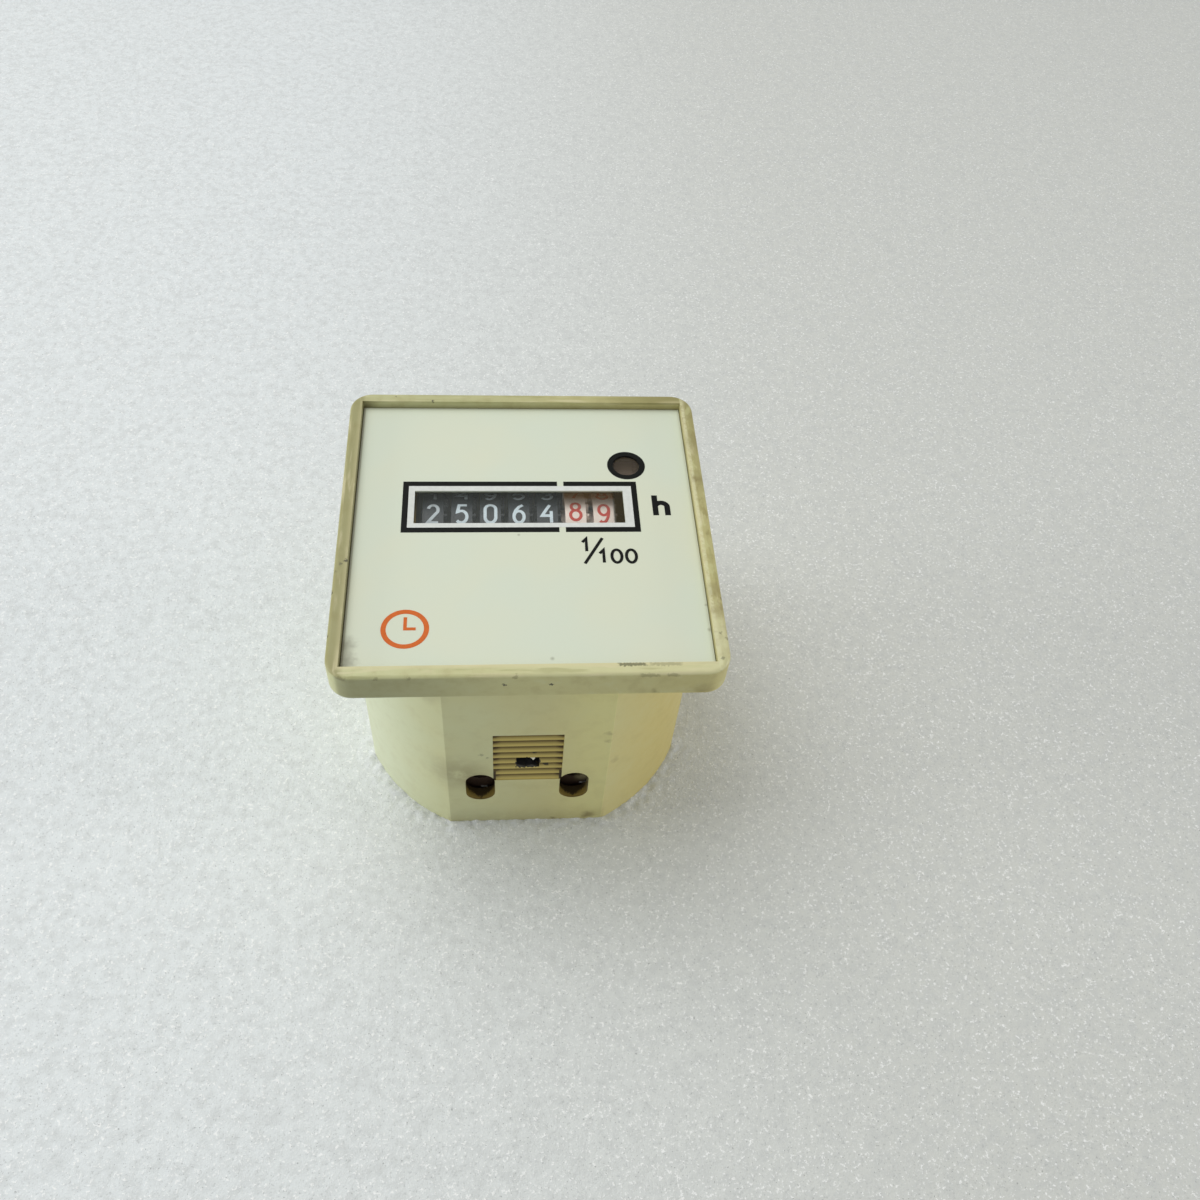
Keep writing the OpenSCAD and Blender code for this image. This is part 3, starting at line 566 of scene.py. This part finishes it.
def tarnished_brass():
    """Terminal metal gone dark brown, dusty at the right, with painted glints where light would catch the metal
    seen through the slots.
    """
    f = Finish("tarnished_brass", Metallic=0.3)
    bloom = f.noise(1.2, 4)
    colour = f.mix(bloom, rgb(96, 76, 62), rgb(52, 40, 34))
    dust = f.x.step(6.4, 7.8) * f.z.step(6.8, 8.2) * bloom.step(0.25, 0.6)
    colour = f.mix(dust * 0.8, colour, rgb(186, 176, 136))
    # Painted glints: small white patches on the terminals
    glint = 0.0
    for x, z in TERMINAL_GLINTS:
        glint = f.x.band(x, 0.6, 0.35) * f.z.band(z, 0.36, 0.18) + glint
    f.colour(f.mix(glint.min(1.0), colour, rgb(252, 252, 250)))
    f.roughness(bloom * 0.2 + 0.3)
    return f.material


def copper_wire():
    """Enamelled winding wire."""
    f = Finish("copper_wire", Metallic=0.8, Coat_Weight=0.5)
    f.colour(f.mix(f.noise(1.5, 4), rgb(176, 92, 44), rgb(132, 60, 26)))
    f.roughness(f.noise(0.4, 2) * 0.15 + 0.25)
    return f.material


def ferrite():
    """Sintered magnet, dark and grainy."""
    f = Finish("ferrite")
    grain = f.noise(0.15, 4, 0.7)
    f.colour(f.mix(grain, rgb(40, 40, 42), rgb(74, 72, 70)))
    f.roughness(grain * 0.2 + 0.5)
    f.bump(grain, 0.02)
    return f.material


def drum_paint():
    """Brown-grey running indicator with darker bars along the drum."""
    f = Finish("drum_paint", IOR=1.5)
    low, high = (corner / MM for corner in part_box("indicator_drum"))
    middle = (low + high) / 2
    turn = (f.z - middle.z).math("ARCTAN2", f.y - middle.y)
    bars = (turn * DRUM_BARS).math("SINE").step(-0.15, 0.15)
    dust = f.noise(0.6, 4)
    f.colour(f.mix(bars * 0.5 + dust * 0.3, rgb(186, 162, 148), rgb(146, 126, 115)))
    f.roughness(dust * 0.2 + 0.4)
    return f.material


def clear_pane():
    """Clear acrylic with a trace of haze, smoky over the indicator, with painted brown shade over the top right of
    the counter window and painted shadow over its right end.
    """
    f = Finish("clear_pane", IOR=1.49)
    haze = f.noise(2, 4)
    east, north = f.x - EYE[0], f.y - EYE[1]
    lens = (east * east + north * north).math("SQRT").step(EYE_RING[1], EYE_RING[0] + 0.3)
    right_end, far_side = f.x.step(14.0, 13.4), f.y.step(7.6, 7.0)
    # Painted shade: a brown tint over the top right of the counter window, where the wheels' tops lie in shade
    brown_shade = f.x.step(4.7, 5.2) * right_end * f.y.step(4.3, 5.4) * far_side
    # Painted shadow over the right end of the counter window
    shade = f.x.step(11.6, 11.85) * right_end * f.y.step(0.2, 0.6) * far_side
    colour = f.mix(haze, rgb(226, 232, 226), rgb(214, 222, 218))
    colour = f.mix(brown_shade, colour, rgb(126, 100, 68))
    colour = f.mix(shade, colour, rgb(66, 58, 36))
    f.colour(f.mix(lens, colour, rgb(102, 91, 77)))
    f.roughness(haze * 0.1 + 0.08)
    f.feed("Alpha", (haze * 0.028 + 0.028).max(brown_shade * 0.26).max(shade * 0.45).max(lens * 0.4))
    return f.material


def foam_floor():
    """Pale foam sheet with a fine grain and painted glints, greyer to the right as painted shade."""
    f = Finish("foam_floor", Specular_IOR_Level=0.4)
    soft = f.noise(1.4, 3, seed=1)
    fine = f.noise(0.42, 2, 0.7, seed=2)
    speck = f.noise(0.3, 1, seed=3)
    # Painted shade: the floor greyer towards the right
    colour = f.mix(f.x.step(-60, 70), rgb(226, 231, 233), rgb(211, 213, 209))
    colour = f.mix(soft.step(0.35, 0.75) * 0.45, colour, rgb(196, 199, 199))
    colour = f.mix(fine.step(0.4, 0.28) * 0.4, colour, rgb(168, 171, 172))
    # Painted glints: small white specks in the grain
    colour = f.mix(fine.step(0.58, 0.68) * 0.75, colour, rgb(252, 253, 253))
    f.colour(f.mix(speck.step(0.7, 0.75) * 0.5, colour, rgb(110, 112, 112)))
    f.roughness(fine * 0.3 + 0.3)
    f.bump(fine * 0.6 + soft * 0.4, 0.3, 0.6)
    return f.material


def add_object(name, data):
    """A new object of the scene, at the origin."""
    thing = bpy.data.objects.new(name, data)
    bpy.context.scene.collection.objects.link(thing)
    return thing


def new_piece(name, mesh, material, body):
    """A finished piece at the origin that rides on a body."""
    mesh.materials.clear()
    mesh.materials.append(material)
    piece = add_object(name, mesh)
    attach(piece, body)


def plain_mesh(holder):
    """The mesh that a working object comes out as; the object is then removed."""
    evaluated = holder.evaluated_get(bpy.context.evaluated_depsgraph_get())
    mesh = bpy.data.meshes.new_from_object(evaluated)
    bpy.data.objects.remove(holder)
    return mesh


def outline_mesh(outlines):
    """A flat shape one unit thick from closed outlines, where an outline inside another cuts a hole."""
    data = bpy.data.curves.new("outline", "CURVE")
    data.dimensions = "2D"
    data.fill_mode = "BOTH"
    data.extrude = 0.5
    for points in outlines:
        spline = data.splines.new("POLY")
        spline.points.add(len(points) - 1)
        for target, point in zip(spline.points, points):
            target.co = (*point, 0.0, 1.0)
        spline.use_cyclic_u = True
    return plain_mesh(add_object("holder", data))


def circle(centre, radius, count=64):
    """Points round a circle."""
    turns = (2 * pi * i / count for i in range(count))
    return [(centre[0] + radius * cos(a), centre[1] + radius * sin(a)) for a in turns]


def rectangle(x0, y0, x1, y1):
    """The four corners of a rectangle."""
    return [(x0, y0), (x1, y0), (x1, y1), (x0, y1)]


def arc(x, y, rx, ry, start, end, count=16):
    """Points along an ellipse between two angles in degrees."""
    turns = (radians(start + (end - start) * i / (count - 1)) for i in range(count))
    return [(x + rx * cos(a), y + ry * sin(a)) for a in turns]


def beside(path, distance, closed):
    """The line at a distance to the left of a path, with mitred corners."""
    points = [Vector(p) for p in path]
    ways = [(b - a).normalized() for a, b in zip(points, points[1:] + points[:1])]
    side = []
    for i, point in enumerate(points):
        first = ways[i - 1] if closed or i > 0 else ways[0]
        second = ways[i] if closed or i < len(points) - 1 else first
        middle = (first + second).normalized()
        side.append(point + Vector((-middle.y, middle.x)) * distance / max(0.4, middle.dot(first)))
    return [tuple(p) for p in side]


def stroke_mesh(path, width, closed=False):
    """A flat stroke of even width along a path."""
    sides = [beside(path, width / 2, closed), beside(path, -width / 2, closed)]
    return outline_mesh(sides if closed else [sides[0] + sides[1][::-1]])


def glyph(digit):
    """Strokes of a digit one unit wide and high, each with a sign whether it is closed."""
    six_stem = [(0.36, 1), (0.0, 0.88), (-0.3, 0.66), (-0.44, 0.46), (-0.47, 0.31)]
    six_bowl = [(x, 0.31 + y * 0.66) for x, y in circle((0, 0), 0.47)]
    shapes = {
        0: [(arc(0, 0.72, 0.5, 0.28, 0, 180) + arc(0, 0.28, 0.5, 0.28, 180, 360), True)],
        1: [([(-0.34, 0.72), (0.12, 1), (0.12, 0)], False)],
        2: [(arc(0, 0.7, 0.46, 0.3, 165, -25) + [(-0.5, 0), (0.5, 0)], False)],
        3: [(arc(0, 0.77, 0.42, 0.23, 150, -75) + arc(0, 0.27, 0.5, 0.27, 75, -150), False)],
        4: [([(0.24, 1), (-0.5, 0.36), (0.5, 0.36)], False), ([(0.36, 0.62), (0.36, 0)], False)],
        5: [([(0.46, 1), (-0.26, 1), (-0.4, 0.58)] + arc(-0.04, 0.32, 0.52, 0.32, 120, -140), False)],
        6: [(six_bowl, True), (six_stem, False)],
        7: [([(-0.5, 1), (0.5, 1), (-0.12, 0)], False)],
        8: [(arc(0, 0.77, 0.4, 0.23, 0, 345), True), (arc(0, 0.27, 0.5, 0.27, 0, 345), True)],
        9: [(arc(0, 0.69, 0.47, 0.31, 0, 345, 24), True), (arc(-0.1, 0.64, 0.57, 0.64, 5, -120), False)],
    }
    return shapes[digit]


def glyph_meshes(digit, middle, size, width):
    """A digit's strokes round a middle point, with the size taken between the strokes' middles."""
    for path, closed in glyph(digit):
        placed = [(middle[0] + x * size[0], middle[1] + (y - 0.5) * size[1]) for x, y in path]
        yield stroke_mesh(placed, width, closed)


def on_film(meshes):
    """Joins flat shapes given in millimetres, and lays them on the film as a thin layer of ink."""
    whole = bmesh.new()
    for layer, mesh in enumerate(meshes):
        mesh.transform(Matrix.Diagonal((1, 1, INK * (1 + layer * LAYER_SHARE), 1)))
        whole.from_mesh(mesh)
        bpy.data.meshes.remove(mesh)
    bmesh.ops.transform(whole, matrix=Matrix.Translation((0, 0, FACE_TOP + INK / 2)), verts=whole.verts)
    bmesh.ops.scale(whole, vec=(MM, MM, MM), verts=whole.verts)
    bmesh.ops.recalc_face_normals(whole, faces=whole.faces)
    mesh = bpy.data.meshes.new("print")
    whole.to_mesh(mesh)
    whole.free()
    return mesh


def frame_sides():
    """The printed frame round the counter, open at the decimal place."""
    ox0, oy0, ox1, oy1 = FRAME_OUTER
    ix0, iy0, ix1, iy1 = FRAME_INNER
    for gap, outer, inner in zip(FRAME_GAP, (ox0, ox1), (ix0, ix1)):
        outside = [(gap, oy0), (outer, oy0), (outer, oy1), (gap, oy1)]
        inside = [(gap, iy1), (inner, iy1), (inner, iy0), (gap, iy0)]
        yield outline_mesh([outside + inside])


def hours_letter():
    """The letter for hours, as a stem and an arch."""
    stem, leg = 17.2, 18.8
    foot, spring, top = 2.0, 3.5, 5.55
    arch = arc((stem + leg) / 2, spring, (leg - stem) / 2, 0.72, 160, 0)
    yield stroke_mesh([(stem, top), (stem, foot)], HOURS_STROKE)
    yield stroke_mesh(arch + [(leg, foot)], HOURS_STROKE)


def hundredths():
    """The fraction that gives the value of the last wheel."""
    yield from glyph_meshes(1, (7.5, -3.1), SMALL_ONE, SIGN_STROKE)
    yield stroke_mesh([(7.3, -6.2), (9.75, -1.95)], SIGN_STROKE)
    yield from glyph_meshes(1, (9.65, -5.0), SMALL_ONE, SIGN_STROKE)
    for x in (11.46, 13.34):
        yield stroke_mesh(arc(x, -5.0, *SMALL_ZERO, 0, 350, 36), SIGN_STROKE, True)


def clock_sign():
    """A plain clock face as the sign for hours."""
    x, y = CLOCK_AT
    half = CLOCK_HAND / 2
    yield outline_mesh([circle(CLOCK_AT, CLOCK_R), circle(CLOCK_AT, CLOCK_R - CLOCK_RING)])
    yield outline_mesh([rectangle(x - half, y - half, x + half, y + MINUTE_HAND)])
    yield outline_mesh([rectangle(x + half, y - half, x + HOUR_HAND, y + half)])


def print_on_film(black, orange, band):
    """The film's print: frame, signs and the pale band round the counter window."""
    ring = outline_mesh([circle(EYE, EYE_RING[1]), circle(EYE, EYE_RING[0])])
    signs = on_film([*frame_sides(), ring, *hours_letter(), *hundredths()])
    new_piece("dial_print", signs, black, "case")
    new_piece("hours_sign", on_film(clock_sign()), orange, "case")
    surround = on_film([outline_mesh([rectangle(*FRAME_INNER), rectangle(*WINDOW)])])
    new_piece("counter_band", surround, band, "case")


def torn_chip(plastic):
    """A pale shred of rib left at the upper edge of the break."""
    edge = BREAK_Z + BREAK_HALF[1]
    shred = [(0.3, edge), (0.95, edge), (0.84, edge - 0.34), (0.66, edge - 0.58), (0.5, edge - 0.2)]
    thickness, middle = 0.7, FLAT_Y + 0.42
    mesh = outline_mesh([shred])
    upright = Matrix(((1, 0, 0, 0), (0, 0, -thickness, middle), (0, 1, 0, 0), (0, 0, 0, 1)))
    mesh.transform(Matrix.Diagonal((MM, MM, MM, 1)) @ upright)
    new_piece("torn_chip", mesh, plastic, "case")


def bent_digit(ring, digit, stroke, axis, angle):
    """Adds one digit to a ring of them, bent round a wheel; the angle runs from +Z towards +Y."""
    for layer, mesh in enumerate(glyph_meshes(digit, (0, 0), DIGIT_SIZE, stroke)):
        ink = DIGIT_INK * (1 + layer * LAYER_SHARE)
        flat = bmesh.new()
        flat.from_mesh(mesh)
        for i in range(-BEND_CUTS, BEND_CUTS + 1):
            everything = flat.verts[:] + flat.edges[:] + flat.faces[:]
            bmesh.ops.bisect_plane(flat, geom=everything, plane_co=(0, i * BEND_STEP, 0), plane_no=(0, 1, 0))
        for v in flat.verts:
            turn = angle + v.co.y / WHEEL_R
            reach = WHEEL_R + (v.co.z + 0.5) * ink
            v.co = (axis + Vector((v.co.x, reach * sin(turn), reach * cos(turn)))) * MM
        bmesh.ops.recalc_face_normals(flat, faces=flat.faces)
        flat.to_mesh(mesh)
        flat.free()
        ring.from_mesh(mesh)
        bpy.data.meshes.remove(mesh)


def digits_on_wheels(pale, red, faded):
    """Ten digits on each wheel, the reading facing the window; the first wheel's are faded."""
    inks = [red] * WHITE_WHEELS + [pale] * (len(READING) - WHITE_WHEELS - 1) + [faded]
    joints = {joint["child"]: joint for joint in frame["joints"]}
    for k, (shown, rise, ink) in enumerate(zip(READING, DIGIT_RISE, inks), 1):
        body = f"number_wheel_{k}"
        axis = Vector(joints[body]["pos_m"]) / MM
        white = k <= WHITE_WHEELS
        stroke = RED_STROKE if white else PALE_STROKE
        ring = bmesh.new()
        for digit in range(10):
            bent_digit(ring, digit, stroke, axis, radians((shown - digit) * DIGIT_PITCH + rise))
        mesh = bpy.data.meshes.new("digits")
        ring.to_mesh(mesh)
        ring.free()
        new_piece(f"{body}_digits", mesh, ink, body)


def dress_nodes(copper):
    """Gives every node of the frame its finish, by its slot or by its own name."""
    tarnish = tarnished_brass()
    by_slot = {
        "case_plastic": CasePlastic().material,
        "printed_film": film_sheet(),
        "clear_pane": clear_pane(),
        "plated_steel": metal("plated_steel", rgb(190, 190, 184), rgb(150, 146, 132), (1, 8, 8), 0.28),
        "brass": metal("turned_brass", rgb(206, 168, 92), rgb(160, 122, 62), (1, 1, 6), 0.25),
        "black_wheel": wheel_plastic("black_wheel", rgb(38, 44, 50), rgb(54, 60, 65)),
        "white_wheel": wheel_plastic("white_wheel", rgb(250, 235, 222), rgb(230, 208, 188)),
        "grey_pinion": wheel_plastic("grey_pinion", rgb(196, 196, 190), rgb(164, 162, 152)),
        "copper_winding": copper,
        "magnet": ferrite(),
    }
    by_name = {
        "chassis": metal("chromated_steel", rgb(176, 150, 92), rgb(128, 106, 62), (1, 8, 8), 0.35),
        "indicator_drum": drum_paint(),
        "terminal_left": tarnish,
        "terminal_right": tarnish,
    }
    for subpart in frame["record"]["subparts"]:
        name = subpart["node"]
        materials = frame["nodes"][name].data.materials
        materials.clear()
        materials.append(by_name.get(name, by_slot[subpart["material_slot"]]))


def winding_turns(copper):
    """Turns of wire side by side on the coil."""
    low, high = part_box("coil")
    wire = WIRE * MM
    middle = (low + high) / 2
    count = int((high.x - low.x) / wire) - 1
    sizes = {
        "Turns": ("NodeSocketInt", count),
        "Pitch": ("NodeSocketFloat", wire),
        "Radius": ("NodeSocketFloat", (high.z - low.z) / 2),
        "Wire": ("NodeSocketFloat", wire / 2),
        "Start": ("NodeSocketVector", (middle.x - wire * (count - 1) / 2, middle.y, middle.z)),
    }
    tree = bpy.data.node_groups.new("winding_turns", "GeometryNodeTree")
    keys = {}
    for name, (kind, _) in sizes.items():
        keys[name] = tree.interface.new_socket(name, in_out="INPUT", socket_type=kind).identifier
    tree.interface.new_socket("Geometry", in_out="OUTPUT", socket_type="NodeSocketGeometry")
    given = tree.nodes.new("NodeGroupInput")
    size = {name: Field(given.outputs[name]) for name in sizes}
    step = add_node(tree, "ShaderNodeCombineXYZ", None, {"X": size["Pitch"]})
    places = {"Count": size["Turns"], "Start Location": size["Start"], "Offset": step}
    line = add_node(tree, "GeometryNodeMeshLine", None, places)
    path = {"Resolution": TURN_POINTS, "Radius": size["Radius"]}
    section = {"Resolution": WIRE_POINTS, "Radius": size["Wire"]}
    sweep = {
        "Curve": add_node(tree, "GeometryNodeCurvePrimitiveCircle", None, path),
        "Profile Curve": add_node(tree, "GeometryNodeCurvePrimitiveCircle", None, section),
    }
    turn = add_node(tree, "GeometryNodeCurveToMesh", None, sweep)
    set_out = {"Points": line, "Instance": turn, "Rotation": (0, pi / 2, 0)}
    turns = add_node(tree, "GeometryNodeInstanceOnPoints", None, set_out)
    whole = add_node(tree, "GeometryNodeRealizeInstances", None, {0: turns})
    result = tree.nodes.new("NodeGroupOutput")
    tree.links.new(whole.socket, result.inputs["Geometry"])
    holder = add_object("holder", bpy.data.meshes.new("holder"))
    modifier = holder.modifiers.new("turns", "NODES")
    modifier.node_group = tree
    for name, (_, value) in sizes.items():
        modifier[keys[name]] = value
    new_piece("winding_turns", plain_mesh(holder), copper, "case")


def foam_height(x, y):
    """Height of the foam at a place in millimetres: grains pressed up beside the foot, flat elsewhere."""
    gap = max(Vector((x, y)).length - BODY_R, abs(x) + FLAT_Y, abs(y) + FLAT_Y)
    if gap < -FOAM_UNDER or gap > FOAM_REACH:
        return 0.0
    coarse = noise.noise((x * COARSE_GRAIN, y * COARSE_GRAIN, 0.0))
    fine = noise.noise((x * FINE_GRAIN, y * FINE_GRAIN, FINE_LAYER))
    fall = (1 - max(gap, 0.0) / FOAM_REACH) ** 2
    return max(0.0, 1 + 2 * coarse + fine) * FOAM_RISE * fall


def floor():
    """The foam sheet: a wide frame round a finer square."""
    bm = bmesh.new()
    bmesh.ops.create_grid(bm, x_segments=FOAM_CELLS, y_segments=FOAM_CELLS, size=FOAM_HALF * MM)
    for v in bm.verts:
        v.co.z = foam_height(v.co.x / MM, v.co.y / MM) * MM
    corners = ((-1, -1), (1, -1), (1, 1), (-1, 1))
    inner, outer = ([bm.verts.new((x * half * MM, y * half * MM, 0)) for x, y in corners]
                    for half in (FOAM_HALF, SHEET_HALF))
    for i in range(4):
        bm.faces.new((outer[i - 1], outer[i], inner[i], inner[i - 1]))
    for face in bm.faces:
        face.smooth = True
    mesh = bpy.data.meshes.new("floor")
    bm.to_mesh(mesh)
    bm.free()
    mesh.materials.append(foam_floor())
    sheet = add_object("floor", mesh)
    sheet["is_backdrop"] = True


def lamp(name, at, size, power, colour):
    """A soft square lamp that looks at the part."""
    light = bpy.data.lights.new(name, "AREA")
    light.size = size
    light.energy = power
    light.color = colour
    holder = add_object(name, light)
    holder.location = at
    holder.rotation_mode = "QUATERNION"
    holder.rotation_quaternion = Vector(at).to_track_quat("Z", "Y")


def studio():
    """Soft light from above and behind, a low window at the left, a weaker lamp at the right, a pale sky."""
    for values in LAMPS:
        lamp(*values)
    world = bpy.data.worlds.new("studio")
    world.use_nodes = True
    sky = world.node_tree.nodes["Background"]
    sky.inputs["Color"].default_value = SKY_COLOUR
    sky.inputs["Strength"].default_value = SKY_STRENGTH
    bpy.context.scene.world = world
    bpy.context.scene.view_settings.view_transform = "Standard"


def aim_camera():
    """Places the camera by its angles: round the part, up from the floor, and about its own axis."""
    azimuth, elevation, roll = (radians(a) for a in (CAMERA_AZIMUTH, CAMERA_ELEVATION, CAMERA_ROLL))
    back = Vector((sin(azimuth) * cos(elevation), -cos(azimuth) * cos(elevation), sin(elevation)))
    right = Vector((cos(azimuth), sin(azimuth), 0))
    up = back.cross(right)
    axes = (cos(roll) * right + sin(roll) * up, cos(roll) * up - sin(roll) * right, back)
    data = bpy.data.cameras.new("camera")
    data.lens = LENS
    data.sensor_width = SENSOR
    data.clip_start = 10 * MM
    camera = add_object("camera", data)
    camera.matrix_world = Matrix.Translation(CAMERA_AT) @ Matrix(axes).transposed().to_4x4()
    bpy.context.scene.camera = camera


aim_camera()
studio()
floor()
copper = copper_wire()
dress_nodes(copper)
winding_turns(copper)
torn_chip(wheel_plastic("torn_plastic", rgb(232, 228, 208), rgb(206, 196, 158)))
print_on_film(
    ink_print("black_ink", rgb(15, 17, 15)),
    ink_print("orange_ink", rgb(200, 100, 44)),
    ink_print("band_ink", rgb(205, 208, 204)),
)
digits_on_wheels(
    ink_print("pale_digit", rgb(205, 218, 226)),
    ink_print("red_digit", rgb(190, 70, 58)),
    ink_print("faded_digit", rgb(188, 197, 202)),
)

boxes = {"cad": cad_box, "visual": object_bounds()}
{name: [list(corner) for corner in box] for name, box in boxes.items()}
